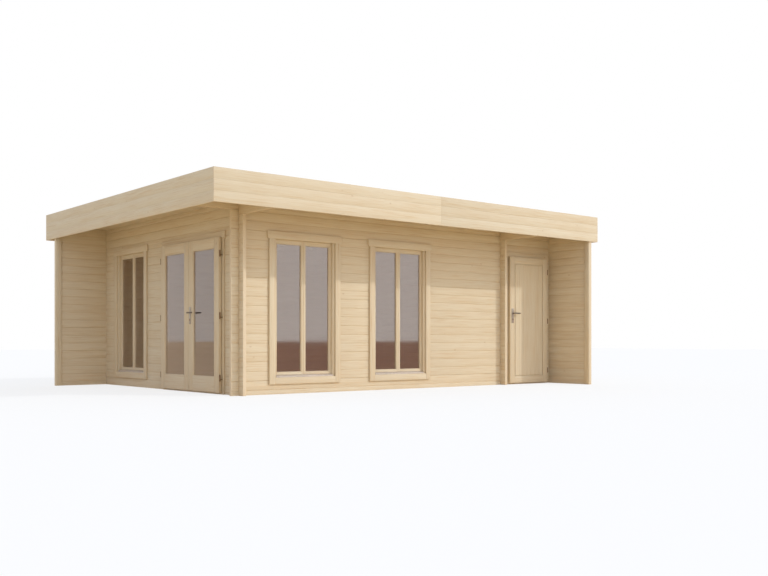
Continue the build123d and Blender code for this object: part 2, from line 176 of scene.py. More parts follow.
class HouseStage(bpy.types.PropertyGroup):
    """Camera and light."""
    eye: FloatVectorProperty(name="Eye", description="Where the camera stands", size=3,
                             default=(-8.225, -11.4345, 0.6546), subtype="TRANSLATION", unit="LENGTH")
    heading: angle("Heading", 39.39, "How far the level camera is turned to the right of +Y")
    lens: FloatProperty(name="Lens", description="Focal length on a 36 mm wide frame", default=43.753,
                        min=1.0, subtype="DISTANCE_CAMERA")
    rise: FloatProperty(name="Rise", default=0.0691,
                        description="Upward shift of the lens, as a share of the frame's width")
    to_sun: FloatVectorProperty(name="To the sun", description="Direction towards the key light", size=3,
                                default=(0.561, -0.614, 0.557), subtype="DIRECTION")
    sun_tone: colour("Sun tone", "FFFDFB", "Colour of the key and fill lights")
    sky_tone: colour("Sky tone", "E6EEFF", "Colour of the light from all round")
    sun_strength: strength("Sun", 1.1, "Strength of the key light")
    sun_softness: angle("Sun softness", 1, "Apparent size of the key light")
    to_fill: FloatVectorProperty(name="To the fill", description="Direction towards the soft fill light",
                                 size=3, default=(0.3, -0.95, 0.05), subtype="DIRECTION")
    fill_strength: strength("Fill", 1.15, "Strength of the soft fill light")
    fill_softness: angle("Fill softness", 100, "Apparent size of the fill light")
    sky_strength: strength("Sky", 0.8, "Strength of the light from all round")
    floor_size: length("Floor", 120000, "Width of the studio floor")


# Materials

def add(tree, kind, inputs=None, **settings):
    """Add a shader node with its settings, and set each named input to a value or link it to a socket."""
    node = tree.nodes.new(f"ShaderNode{kind}")
    for name, value in settings.items():
        setattr(node, name, value)
    for name, value in (inputs or {}).items():
        if isinstance(value, bpy.types.NodeSocket):
            tree.links.new(value, node.inputs[name])
        else:
            node.inputs[name].default_value = value
    return node


def new_material(name):
    """An empty node material, and its tree."""
    material = bpy.data.materials.new(name)
    material.use_nodes = True
    material.node_tree.nodes.clear()
    return material, material.node_tree


def opaque(rgb):
    return (*rgb, 1.0)


def spruce(name, grain, colours, log_pitch=None, log_foot=0.0):
    """Planed spruce: pale sapwood with nested growth lines, thin honey-coloured dashes, a few small knots and
    ringed ends. It is matt, and each log or board differs a little. Logs are told apart by their height, and
    painted shade darkens each log into its V seams."""
    ring_width, ring_length, rings_across = 75 * MILLIMETRE, 4500 * MILLIMETRE, 9.0
    # Real late wood lines are 1 mm wide and fibres finer still, drawn at 7 and 4 mm so that they show
    dash_width, dash_length = 7 * MILLIMETRE, 450 * MILLIMETRE
    fibre_width, fibre_length = 4 * MILLIMETRE, 240 * MILLIMETRE
    knot_spacing, knot_stretch, knot_radius = 190 * MILLIMETRE, 330 * MILLIMETRE, 14 * MILLIMETRE
    # Real rings are about 3 mm apart, drawn at 7 mm on the ends so that they show
    end_ring = 7 * MILLIMETRE
    wave_period = 2 * math.pi / 20
    clouds_per_metre = 1.3
    between_trunks = (9.0, 9.0, 9.0)
    ring_edge, ring_tone, knot_tone, end_ring_tone = 2.5, 0.1, 0.3, 0.4
    knot_heart_share = 0.35
    end_begins, end_full = 0.8, 0.95
    material, tree = new_material(name)
    place = add(tree, "TexCoord")
    spot = place.outputs["Object"]
    if log_pitch:
        height = add(tree, "SeparateXYZ", {"Vector": spot}).outputs["Z"]
        course = add(tree, "Math", {0: height, 1: log_foot}, operation="SUBTRACT")
        course = add(tree, "Math", {0: course.outputs[0], 1: log_pitch}, operation="DIVIDE")
        seed = add(tree, "Math", {0: course.outputs[0]}, operation="FLOOR").outputs[0]
    else:
        seed = add(tree, "NewGeometry").outputs["Random Per Island"]
    own = add(tree, "TexWhiteNoise", {"W": seed}, noise_dimensions="1D")
    trunk = add(tree, "VectorMath", {0: own.outputs["Color"], 1: between_trunks, 2: spot},
                operation="MULTIPLY_ADD").outputs[0]

    def stretched(across, along):
        """Places on the trunk, counted in widths across the grain and in lengths along it."""
        scale = [1 / across] * 3
        scale[grain] = 1 / along
        return add(tree, "VectorMath", {0: trunk, 1: scale}, operation="MULTIPLY").outputs[0]

    figure, dashes, fibres = [
        add(tree, "TexNoise", {"Vector": stretched(across, along), "Scale": 1.0, "Detail": detail})
        for across, along, detail in ((ring_width, ring_length, 1.0), (dash_width, dash_length, 2.0),
                                      (fibre_width, fibre_length, 2.0))]
    cloud = add(tree, "TexNoise", {"Vector": trunk, "Scale": clouds_per_metre, "Detail": 2.0})
    growth = add(tree, "Math", {0: figure.outputs["Fac"], 1: rings_across}, operation="MULTIPLY")
    growth = add(tree, "Math", {0: growth.outputs[0]}, operation="FRACT")
    growth = add(tree, "Math", {0: growth.outputs[0], 1: ring_edge}, operation="POWER")

    # What darkens the wood: a pattern, where it begins and where it is full, and the most that it darkens by
    tones = [(dashes.outputs["Fac"], 0.53, 0.74, 0.4), (fibres.outputs["Fac"], 0.3, 0.7, 0.2),
             (cloud.outputs["Fac"], 0.3, 0.7, 0.1), (own.outputs["Value"], 0.0, 1.0, 0.07)]
    # Painted shade: each log darkens within a few millimetres of the V seams above and below it
    if log_pitch:
        rise = add(tree, "Math", {0: course.outputs[0]}, operation="FRACT")
        rise = add(tree, "Math", {0: rise.outputs[0], 1: 0.5}, operation="SUBTRACT")
        rise = add(tree, "Math", {0: rise.outputs[0]}, operation="ABSOLUTE")
        tones.append((rise.outputs[0], 0.46, 0.5, 0.2))
    total = add(tree, "Math", {0: growth.outputs[0], 1: ring_tone}, operation="MULTIPLY")
    for value, begins, full, most in tones:
        tone = add(tree, "MapRange", {"Value": value, "From Min": begins, "From Max": full,
                                      "To Max": most})
        total = add(tree, "Math", {0: total.outputs[0], 1: tone.outputs[0]}, operation="ADD")
    planed = add(tree, "Mix", {0: total.outputs[0], 6: opaque(colours.sapwood),
                               7: opaque(colours.latewood)}, data_type="RGBA")

    cells = add(tree, "TexVoronoi", {"Vector": stretched(knot_spacing, knot_stretch), "Scale": 1.0})
    reach = knot_radius / knot_spacing
    knots = add(tree, "MapRange", {"Value": cells.outputs["Distance"], "From Min": reach,
                                   "From Max": reach * knot_heart_share, "To Max": knot_tone},
                interpolation_type="SMOOTHSTEP")
    knotty = add(tree, "Mix", {0: knots.outputs[0], 6: planed.outputs[2], 7: opaque(colours.knot)},
                 data_type="RGBA")

    rings = add(tree, "TexWave", {"Vector": trunk, "Scale": wave_period / end_ring,
                                  "Distortion": 1.5, "Detail": 1.0},
                wave_type="RINGS", rings_direction="XYZ"[grain])
    ringed = add(tree, "MapRange", {"Value": rings.outputs["Fac"], "To Max": end_ring_tone})
    sawn = add(tree, "Mix", {0: ringed.outputs[0], 6: opaque(colours.end_grain),
                             7: opaque(colours.latewood)}, data_type="RGBA")
    facing = add(tree, "SeparateXYZ", {"Vector": place.outputs["Normal"]}).outputs[grain]
    facing = add(tree, "Math", {0: facing}, operation="ABSOLUTE")
    on_end = add(tree, "MapRange", {"Value": facing.outputs[0], "From Min": end_begins,
                                    "From Max": end_full})
    wood = add(tree, "Mix", {0: on_end.outputs[0], 6: knotty.outputs[2], 7: sawn.outputs[2]},
               data_type="RGBA")

    relief = add(tree, "Math", {0: growth.outputs[0], 1: fibres.outputs["Fac"]}, operation="ADD")
    bump = add(tree, "Bump", {"Height": relief.outputs[0], "Strength": 0.25,
                              "Distance": 0.5 * MILLIMETRE})
    sheen = add(tree, "MapRange", {"Value": total.outputs[0], "To Min": 0.68, "To Max": 0.56})
    surface = add(tree, "BsdfPrincipled", {
        "Base Color": wood.outputs[2], "Roughness": sheen.outputs[0], "Specular IOR Level": 0.3,
        "Normal": bump.outputs[0]})
    add(tree, "OutputMaterial", {"Surface": surface.outputs[0]})
    return material


def coated_glass(colours):
    """Coated float glass: a clear sheet, hardly bending light, that mirrors the sky and the glowing plane
    painted in as ground with a faint warm tone, more so at a slant, and shows the dim room behind it."""
    waves_per_metre, slant_power, head_on_share = 2.2, 5.0, 0.125
    material, tree = new_material("coated_float_glass")
    spot = add(tree, "TexCoord").outputs["Object"]
    waviness = add(tree, "TexNoise", {"Vector": spot, "Scale": waves_per_metre, "Detail": 1.0})
    bump = add(tree, "Bump", {"Height": waviness.outputs["Fac"], "Strength": 0.04,
                              "Distance": 2 * MILLIMETRE})
    haze = add(tree, "MapRange", {"Value": waviness.outputs["Fac"], "To Min": 0.01, "To Max": 0.05})
    mirror = add(tree, "BsdfPrincipled", {
        "Base Color": opaque(colours.pane_mirror), "Metallic": 1.0, "Roughness": haze.outputs[0],
        "Normal": bump.outputs[0]})
    clear = add(tree, "BsdfTransparent", {"Color": opaque(colours.pane)})
    slant = add(tree, "LayerWeight", {"Blend": 0.5}).outputs["Facing"]
    slant = add(tree, "Math", {0: slant, 1: slant_power}, operation="POWER")
    share = add(tree, "MapRange", {"Value": slant.outputs[0], "To Min": head_on_share,
                                   "To Max": 1.0})
    mixed = add(tree, "MixShader", {0: share.outputs[0], 1: clear.outputs[0], 2: mirror.outputs[0]})
    add(tree, "OutputMaterial", {"Surface": mixed.outputs[0]})
    return material


def slated_felt(colours):
    """Mineral felt: bitumen sheet rolled in slate granules, matt and speckled, with weathered patches."""
    # Real granules are about 1 mm, drawn at 5 mm so that they show
    granule = 5 * MILLIMETRE
    patches_per_metre = 1.8
    material, tree = new_material("slated_roofing_felt")
    spot = add(tree, "TexCoord").outputs["Object"]
    grit = add(tree, "TexVoronoi", {"Vector": spot, "Scale": 1 / granule})
    patches = add(tree, "TexNoise", {"Vector": spot, "Scale": patches_per_metre, "Detail": 4.0})
    shade = add(tree, "Math", {0: grit.outputs["Color"], 1: patches.outputs["Fac"]},
                operation="MULTIPLY")
    tint = add(tree, "Mix", {0: shade.outputs[0], 6: opaque(colours.felt),
                             7: opaque(colours.felt_fleck)}, data_type="RGBA")
    bump = add(tree, "Bump", {"Height": grit.outputs["Distance"], "Strength": 0.5,
                              "Distance": MILLIMETRE})
    matt = add(tree, "MapRange", {"Value": patches.outputs["Fac"], "To Min": 0.82, "To Max": 0.98})
    surface = add(tree, "BsdfPrincipled", {
        "Base Color": tint.outputs[2], "Roughness": matt.outputs[0], "Specular IOR Level": 0.25,
        "Normal": bump.outputs[0]})
    add(tree, "OutputMaterial", {"Surface": surface.outputs[0]})
    return material


def brushed_metal(name, base, worn, metallic, roughness, stroke_width):
    """A metal with fine strokes along Z: bright and even where it is new, duller where it is rubbed."""
    # Real strokes are about 0.1 mm wide, drawn at the given width so that they show
    stroke = stroke_width * MILLIMETRE
    stroke_length = 20 * stroke
    rubbed_patch = 25 * MILLIMETRE
    material, tree = new_material(name)
    spot = add(tree, "TexCoord").outputs["Object"]
    drawn = add(tree, "VectorMath", {0: spot, 1: (1 / stroke, 1 / stroke, 1 / stroke_length)},
                operation="MULTIPLY")
    strokes = add(tree, "TexNoise", {"Vector": drawn.outputs[0], "Scale": 1.0, "Detail": 3.0})
    rubbed = add(tree, "TexNoise", {"Vector": spot, "Scale": 1 / rubbed_patch, "Detail": 3.0})
    wear = add(tree, "MapRange", {"Value": rubbed.outputs["Fac"], "From Min": 0.5,
                                  "From Max": 0.75})
    tint = add(tree, "Mix", {0: wear.outputs[0], 6: opaque(base), 7: opaque(worn)},
               data_type="RGBA")
    dull = add(tree, "MapRange", {"Value": strokes.outputs["Fac"], "To Min": roughness - 0.08,
                                  "To Max": roughness + 0.12})
    bump = add(tree, "Bump", {"Height": strokes.outputs["Fac"], "Strength": 0.08,
                              "Distance": 0.2 * MILLIMETRE})
    surface = add(tree, "BsdfPrincipled", {
        "Base Color": tint.outputs[2], "Metallic": metallic, "Roughness": dull.outputs[0],
        "Normal": bump.outputs[0]})
    add(tree, "OutputMaterial", {"Surface": surface.outputs[0]})
    return material


def studio_floor(colours):
    """Matt pale paint. The camera, mirrors and panes see it near white, and it keeps the shadow of the house.
    The light that it throws back to the house is warm."""
    mottles_per_metre, white_share = 0.4, 0.75
    material, tree = new_material("pale_studio_paint")
    spot = add(tree, "TexCoord").outputs["Object"]
    mottle = add(tree, "TexNoise", {"Vector": spot, "Scale": mottles_per_metre, "Detail": 3.0})
    matt = add(tree, "MapRange", {"Value": mottle.outputs["Fac"], "To Min": 0.85, "To Max": 0.95})
    seen = seen_directly(tree)
    tint = add(tree, "Mix", {0: seen, 6: opaque(colours.bounce), 7: opaque(colours.stage)},
               data_type="RGBA")
    paint = add(tree, "BsdfPrincipled", {
        "Base Color": tint.outputs[2], "Roughness": matt.outputs[0], "Specular IOR Level": 0.0})
    white = add(tree, "Emission", {"Strength": 1.0})
    share = add(tree, "Math", {0: seen, 1: white_share}, operation="MULTIPLY")
    mixed = add(tree, "MixShader", {0: share.outputs[0], 1: paint.outputs[0], 2: white.outputs[0]})
    add(tree, "OutputMaterial", {"Surface": mixed.outputs[0]})
    return material


def ground_reflection_glow(colours):
    """A glowing plane of brown earth colour that the camera and the light never meet: a painted reflection of
    the ground, which panes and metal mirror below the horizon, paler to the left of the house.
    """
    clods_per_metre, fade = 0.3, 1.0
    material, tree = new_material("painted_ground_reflection")
    spot = add(tree, "TexCoord").outputs["Object"]
    clods = add(tree, "TexNoise", {"Vector": spot, "Scale": clods_per_metre, "Detail": 4.0})
    glow = add(tree, "MapRange", {"Value": clods.outputs["Fac"], "To Min": 0.85, "To Max": 1.15})
    along = add(tree, "SeparateXYZ", {"Vector": spot}).outputs["X"]
    paler = add(tree, "MapRange", {"Value": along, "From Min": cad_box[0].x,
                                   "From Max": cad_box[0].x - fade})
    tint = add(tree, "Mix", {0: paler.outputs[0], 6: opaque(colours.earth),
                             7: opaque(colours.pale_earth)}, data_type="RGBA")
    earth = add(tree, "Emission", {"Color": tint.outputs[2], "Strength": glow.outputs[0]})
    add(tree, "OutputMaterial", {"Surface": earth.outputs[0]})
    return material


def seen_directly(tree):
    """1 for what the camera, a mirror or a pane shows, and 0 for light that falls on the house."""
    ray = add(tree, "LightPath").outputs
    either = add(tree, "Math", {0: ray["Is Camera Ray"], 1: ray["Is Glossy Ray"]},
                 operation="MAXIMUM")
    return add(tree, "Math", {0: either.outputs[0], 1: ray["Is Transmission Ray"]},
               operation="MAXIMUM").outputs[0]


made_finishes = {}


def finish(name):
    """The materials of one finish, made when the first piece asks for them."""
    if name in made_finishes:
        return made_finishes[name]
    colours, pitch = bpy.context.scene.house_colours, bpy.context.scene.house_sizes.log_pitch
    # Each metal's name, colours, metallic share, roughness, and width of a stroke in millimetres
    metals = {
        "steel": ("satin_stainless_steel", colours.steel, colours.steel_wear, 0.9, 0.38, 0.8),
        "lever": ("burnished_steel", colours.lever, colours.lever_wear, 0.6, 0.45, 0.8),
        "browned": ("browned_steel", colours.browned, colours.browned_wear, 0.1, 0.65, 2.0),
        "aluminium": ("mill_aluminium", colours.aluminium, colours.aluminium_wear, 0.5, 0.5, 1.5),
        "keyway": ("shadowed_keyway", colours.keyway, colours.browned, 0.3, 0.6, 1.5),
    }
    if name == "boards":
        made = [spruce(f"planed_spruce_boards_{axis}", grain, colours) for grain, axis in enumerate("xyz")]
    elif name == "long_logs":
        made = [spruce("planed_spruce_logs_x", ALONG_X, colours, pitch, pitch / 2)]
    elif name == "cross_logs":
        made = [spruce("planed_spruce_logs_y", ALONG_Y, colours, pitch)]
    elif name == "glass":
        made = [coated_glass(colours)]
    elif name == "felt":
        made = [slated_felt(colours)]
    else:
        made = [brushed_metal(*metals[name])]
    made_finishes[name] = made
    return made


# Places read from the frame

def limits(points):
    """The lowest and highest corner round some points."""
    return Vector(map(min, zip(*points))), Vector(map(max, zip(*points)))


def solid_boxes(node):
    """The box of each solid in a node, from left to right, found by joining triangles that share corners."""
    mesh, digits = frame["nodes"][node].data, 5
    joined = {}

    def root(corner):
        while joined.setdefault(corner, corner) != corner:
            corner = joined[corner]
        return corner

    for triangle in mesh.polygons:
        corners = [tuple(round(value, digits) for value in mesh.vertices[index].co)
                   for index in triangle.vertices]
        for corner in corners[1:]:
            joined[root(corner)] = root(corners[0])
    solids = {}
    for corner in list(joined):
        solids.setdefault(root(corner), []).append(corner)
    return sorted((limits(corners) for corners in solids.values()), key=lambda box: tuple(box[0]))


def middle(box):
    return (box[0] + box[1]) / 2


def longest_axis(box):
    size = box[1] - box[0]
    return max(range(3), key=lambda axis: size[axis])


def wall_axis(box):
    """The level axis that a window or door is wide along."""
    size = box[1] - box[0]
    return ALONG_X if size.x > size.y else ALONG_Y


def within(box, axis, low, high):
    """The same box with other limits on one axis."""
    corners = (box[0].copy(), box[1].copy())
    corners[0][axis], corners[1][axis] = low, high
    return corners


def shrunk(box, axes, margin):
    """The box pulled in by a margin on some axes."""
    for axis in axes:
        box = within(box, axis, box[0][axis] + margin, box[1][axis] - margin)
    return box


def stacked(box, axis, count):
    """The box cut into equal boxes along one axis."""
    step = (box[1][axis] - box[0][axis]) / count
    return [within(box, axis, box[0][axis] + step * index, box[0][axis] + step * (index + 1))
            for index in range(count)]


def matched_boards(box, axis, width):
    return stacked(box, axis, max(1, round((box[1][axis] - box[0][axis]) / width)))


def ring_members(outer, inner, along):
    """Two stiles over the full height and two rails between them, round an opening."""
    stiles = [within(outer, along, outer[0][along], inner[0][along]),
              within(outer, along, inner[1][along], outer[1][along])]
    between = within(outer, along, inner[0][along], inner[1][along])
    rails = [within(between, UPRIGHT, outer[0].z, inner[0].z),
             within(between, UPRIGHT, inner[1].z, outer[1].z)]
    return [box for box in stiles + rails if min(box[1] - box[0]) > MILLIMETRE / 10]


# Modelling

def start_piece(name, materials):
    """An empty mesh at the origin, in edit mode."""
    if bpy.context.object and bpy.context.object.mode == "EDIT":
        bpy.ops.object.mode_set(mode="OBJECT")
    bpy.ops.object.select_all(action="DESELECT")
    bpy.ops.object.add(type="MESH", location=(0.0, 0.0, 0.0))
    piece = bpy.context.object
    piece.name = piece.data.name = name
    for material in materials:
        piece.data.materials.append(material)
    bpy.ops.object.mode_set(mode="EDIT")
    return piece


def end_piece(piece, body, nodes=()):
    """Leave edit mode, shade the piece, tie it to its body and hide the nodes it stands for."""
    smooth_below = math.radians(35)
    bpy.ops.object.mode_set(mode="OBJECT")
    bpy.ops.object.shade_smooth_by_angle(angle=smooth_below)
    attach(piece, body)
    if nodes:
        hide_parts(*nodes)
    return piece


def add_bar(piece, box, edge, segments=2):
    """One bar with eased edges. Where the piece has three woods, the grain runs along the bar."""
    bpy.ops.mesh.select_all(action="DESELECT")
    bpy.ops.mesh.primitive_cube_add(size=1.0, location=middle(box), scale=box[1] - box[0])
    if len(piece.data.materials) == 3:
        piece.active_material_index = longest_axis(box)
        bpy.ops.object.material_slot_assign()
    bpy.ops.mesh.bevel(offset=edge, offset_type="OFFSET", segments=segments, affect="EDGES")


def bars(name, boxes, materials, edge, body, nodes=(), segments=2):
    """A piece made of several bars."""
    piece = start_piece(name, materials)
    for box in boxes:
        add_bar(piece, box, edge, segments)
    return end_piece(piece, body, nodes)


def copied(name, mesh):
    """A new object with its own copy of a mesh, selected alone."""
    bpy.ops.object.select_all(action="DESELECT")
    piece = bpy.data.objects.new(name, mesh.copy())
    bpy.context.scene.collection.objects.link(piece)
    bpy.context.view_layer.objects.active = piece
    piece.select_set(True)
    return piece


def dressed(node, materials, edge, body, segments=2):
    """A node's own shape with its edges eased. Where there are three woods, each solid has its own grain."""
    same_point, flat_below, edge_above = 0.01 * MILLIMETRE, math.radians(0.5), math.radians(30)
    piece = copied(f"{node}_finished", frame["nodes"][node].data)
    bpy.ops.mesh.customdata_custom_splitnormals_clear()
    bpy.ops.object.mode_set(mode="EDIT")
    bpy.ops.mesh.select_all(action="SELECT")
    bpy.ops.mesh.remove_doubles(threshold=same_point)
    bpy.ops.mesh.dissolve_limited(angle_limit=flat_below)
    bpy.ops.object.mode_set(mode="OBJECT")
    piece.data.materials.clear()
    for material in materials:
        piece.data.materials.append(material)
    if len(materials) == 3:
        boxes = solid_boxes(node)
        for face in piece.data.polygons:
            nearest = min(boxes, key=lambda box: outside(box, face.center))
            face.material_index = longest_axis(nearest)
    else:
        piece.data.polygons.foreach_set("material_index", [0] * len(piece.data.polygons))
    ease = piece.modifiers.new("eased_edges", "BEVEL")
    ease.width, ease.segments = edge, segments
    ease.limit_method, ease.angle_limit = "ANGLE", edge_above
    bpy.ops.object.modifier_apply(modifier=ease.name)
    return end_piece(piece, body, [node])


def outside(box, point):
    """How far a point lies outside a box."""
    return sum(max(box[0][axis] - point[axis], 0.0, point[axis] - box[1][axis]) for axis in range(3))


# Operators, one for each piece or group of like pieces

class HOUSE_OT_log_walls(bpy.types.Operator):
    """Plane the logs of every wall, with eased seams and a tone for each log"""
    bl_idname = "garden_house.log_walls"
    bl_label = "Log walls"

    def execute(self, context):
        edge = context.scene.house_sizes.seam_edge
        for node in ("front_base_logs", "front_piers", "front_upper_logs", "front_top_log", "back_wall"):
            dressed(node, finish("long_logs"), edge, "house")
        for node in ("left_base_logs", "left_piers", "left_upper_logs", "left_top_log", "partition_wall",
                     "partition_top_log", "right_end_wall"):
            dressed(node, finish("cross_logs"), edge, "house")
        return {"FINISHED"}


class HOUSE_OT_trim_boards(bpy.types.Operator):
    """Ease the edges of the casings, headers, end boards, joists and floor bearers"""
    bl_idname = "garden_house.trim_boards"
    bl_label = "Trim boards and joists"

    def execute(self, context):
        edge = context.scene.house_sizes.planed_edge
        for node in ("window_side_casings", "window_headers", "window_bottom_boards", "door_side_casings",
                     "door_headers"):
            dressed(node, finish("boards"), edge, "house")
        dressed("end_boards", finish("boards"), edge, "house")
        dressed("roof_joists", finish("boards"), edge, "house")
        dressed("floor_bearers", finish("boards"), edge, "house")
        return {"FINISHED"}


class HOUSE_OT_fascia(bpy.types.Operator):
    """Board the four fascias, the long ones butted near their middle"""
    bl_idname = "garden_house.fascia"
    bl_label = "Fascia boards"

    def execute(self, context):
        sizes = context.scene.house_sizes
        for name, node in (("long_fascia_boards", "long_fascias"), ("side_fascia_boards", "side_fascias")):
            boards = []
            for box in solid_boxes(node):
                along = wall_axis(box)
                for board in stacked(box, UPRIGHT, sizes.fascia_courses):
                    if along == ALONG_X:
                        joint = box[0].x + sizes.fascia_joint_share * (box[1].x - box[0].x)
                        boards.append(within(board, ALONG_X, box[0].x, joint))
                        boards.append(within(board, ALONG_X, joint, box[1].x))
                    else:
                        boards.append(board)
            bars(name, boards, finish("boards"), sizes.planed_edge, "house", [node])
        return {"FINISHED"}


class HOUSE_OT_roof(bpy.types.Operator):
    """Lay the deck boards, the strips of felt with their laps, and the felt over the kerbs"""
    bl_idname = "garden_house.roof"
    bl_label = "Roof boards and felt"

    def execute(self, context):
        sizes = context.scene.house_sizes
        deck = matched_boards(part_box("roof_deck"), ALONG_Y, sizes.deck_board)
        bars("roof_deck_boards", deck, finish("boards"), sizes.board_vee, "house",
             ["roof_deck"], 1)
        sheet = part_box("roof_felt")
        strips = matched_boards(sheet, ALONG_Y, sizes.felt_strip)
        kerb = min(kerb_box[1].y - kerb_box[0].y for kerb_box in solid_boxes("roof_kerbs"))
        half_lap, rise = sizes.felt_lap / 2, sizes.felt_lap_rise
        laps = [within(within(strip, ALONG_Y, strip[0].y - half_lap, strip[0].y + half_lap),
                       UPRIGHT, sheet[1].z - rise, sheet[1].z + rise) for strip in strips[1:]]
        laps = [shrunk(lap, [ALONG_X], kerb) for lap in laps]
        bars("felt_strips", strips + laps, finish("felt"), rise / 2, "house", ["roof_felt"])
        bars("felted_kerbs", solid_boxes("roof_kerbs"), finish("felt"), sizes.kerb_round, "house",
             ["roof_kerbs"], 3)
        return {"FINISHED"}


class HOUSE_OT_floors(bpy.types.Operator):
    """Lay the floor boards across their bearers in both rooms"""
    bl_idname = "garden_house.floors"
    bl_label = "Floor boards"

    def execute(self, context):
        sizes = context.scene.house_sizes
        boards = [board for room in solid_boxes("floor_boards")
                  for board in matched_boards(room, ALONG_X, sizes.floor_board)]
        bars("laid_floor_boards", boards, finish("boards"), sizes.board_vee / 2, "house",
             ["floor_boards"], 1)
        return {"FINISHED"}


def glazed(wood, pane, along, sizes):
    """Stiles and rails round a pane, and the beads that hold it, set a little behind the wood's faces."""
    rebate = shrunk(pane, [along, UPRIGHT], -sizes.bead)
    held = shrunk(wood, [1 - along], sizes.bead_setback)
    beads = ring_members(within(rebate, 1 - along, held[0][1 - along], held[1][1 - along]), pane, along)
    return ring_members(wood, rebate, along), beads


class HOUSE_OT_windows(bpy.types.Operator):
    """Join the window frames and casements from stiles and rails, bead the glass and fold the drip rails"""
    bl_idname = "garden_house.windows"
    bl_label = "Windows"

    def execute(self, context):
        sizes = context.scene.house_sizes
        casements = list(zip(solid_boxes("window_sashes"), solid_boxes("window_glass")))
        frame_bars, sash_bars, bead_bars = [], [], []
        for sash, pane in casements:
            along = wall_axis(solid_near("window_frames", sash))
            stiles, beads = glazed(sash, pane, along, sizes)
            sash_bars += stiles
            bead_bars += beads
        for outer in solid_boxes("window_frames"):
            along = wall_axis(outer)
            own = [sash for sash, pane in casements if outside(outer, middle(sash)) == 0.0]
            inner = limits([corner for sash in own for corner in sash])
            drip = solid_near("window_drip_rails", outer)
            step = within(inner, UPRIGHT, drip[0].z, drip[1].z)
            inner = within(inner, UPRIGHT, drip[0].z, inner[1].z)
            frame_bars += ring_members(outer, inner, along)
            frame_bars.append(within(step, 1 - along, own[0][0][1 - along], outer[1][1 - along]))
        for name, members, edge, nodes in (
                ("joined_window_frames", frame_bars, sizes.planed_edge, ["window_frames"]),
                ("joined_casements", sash_bars, sizes.planed_edge, ["window_sashes"]),
                ("window_beads", bead_bars, sizes.bead / 4, [])):
            bars(name, members, finish("boards"), edge, "house", nodes)
        drip_rails(sizes)
        return {"FINISHED"}


def solid_near(node, box):
    """The solid of a node whose middle is nearest to a box's middle."""
    return min(solid_boxes(node), key=lambda solid: (middle(solid) - middle(box)).length)


def drip_rails(sizes):
    """Folded drip rails: a sloping top that falls to a turned-down lip in front of the frame's foot."""
    piece = start_piece("folded_drip_rails", finish("aluminium"))
    for box in solid_boxes("window_drip_rails"):
        depth, centre = 1 - wall_axis(box), middle(box)
        bpy.ops.mesh.select_all(action="DESELECT")
        bpy.ops.mesh.primitive_cube_add(size=1.0, location=centre, scale=box[1] - box[0])
        pull(piece, lambda spot: spot[depth] < centre[depth] and spot.z > centre.z and inside(box, spot),
             (0.0, 0.0, -sizes.drip_fall))
        select_round(piece, lambda spot: inside(box, spot))
        bpy.ops.mesh.bevel(offset=sizes.metal_edge, offset_type="OFFSET", segments=2, affect="EDGES")
    return end_piece(piece, "house", ["window_drip_rails"])


def inside(box, spot):
    return outside(box, spot) < MILLIMETRE / 10


def select_round(piece, wanted):
    """Select the corners at wanted places, and the edges and faces between them."""
    bpy.ops.object.mode_set(mode="OBJECT")
    mesh = piece.data
    for vertex in mesh.vertices:
        vertex.select = wanted(vertex.co)
    for edge in mesh.edges:
        edge.select = all(mesh.vertices[index].select for index in edge.vertices)
    for face in mesh.polygons:
        face.select = all(mesh.vertices[index].select for index in face.vertices)
    bpy.ops.object.mode_set(mode="EDIT")


def pull(piece, wanted, offset):
    """Move the corners at wanted places."""
    select_round(piece, wanted)
    bpy.ops.transform.translate(value=offset)


class HOUSE_OT_door_frames(bpy.types.Operator):
    """Join the two door frames from jambs, heads and thresholds"""
    bl_idname = "garden_house.door_frames"
    bl_label = "Door frames"

    def execute(self, context):
        sizes = context.scene.house_sizes
        floor_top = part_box("floor_boards")[1].z
        for name, node in (("joined_double_door_frame", "double_door_frame"),
                           ("joined_store_door_frame", "store_door_frame")):
            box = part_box(node)
            along = wall_axis(box)
            depth = 1 - along
            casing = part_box("door_side_casings")
            wall_face = max(solid_near("door_side_casings", box)[1][depth], box[0][depth])
            ring = within(box, depth, wall_face, box[1][depth])
            inner = shrunk(ring, [along], sizes.door_jamb)
            inner = within(inner, UPRIGHT, floor_top, box[1].z - sizes.door_jamb)
            members = ring_members(ring, inner, along)
            nose = within(within(inner, UPRIGHT, casing[0].z, floor_top), depth, box[0][depth], wall_face)
            bars(name, members + [nose], finish("boards"), sizes.planed_edge, "house", [node])
        return {"FINISHED"}


class HOUSE_OT_double_door(bpy.types.Operator):
    """Join both glazed leaves from stiles and rails and bead their panes"""
    bl_idname = "garden_house.double_door"
    bl_label = "Double door leaves"

    def execute(self, context):
        sizes = context.scene.house_sizes
        for leaf in ("right_leaf", "left_leaf"):
            wood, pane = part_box(leaf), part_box(f"{leaf}_glass")
            members, beads = glazed(wood, pane, ALONG_Y, sizes)
            bars(f"{leaf}_joinery", members, finish("boards"), sizes.planed_edge, leaf,
                 [leaf])
            bars(f"{leaf}_beads", beads, finish("boards"), sizes.bead / 4, leaf)
        return {"FINISHED"}


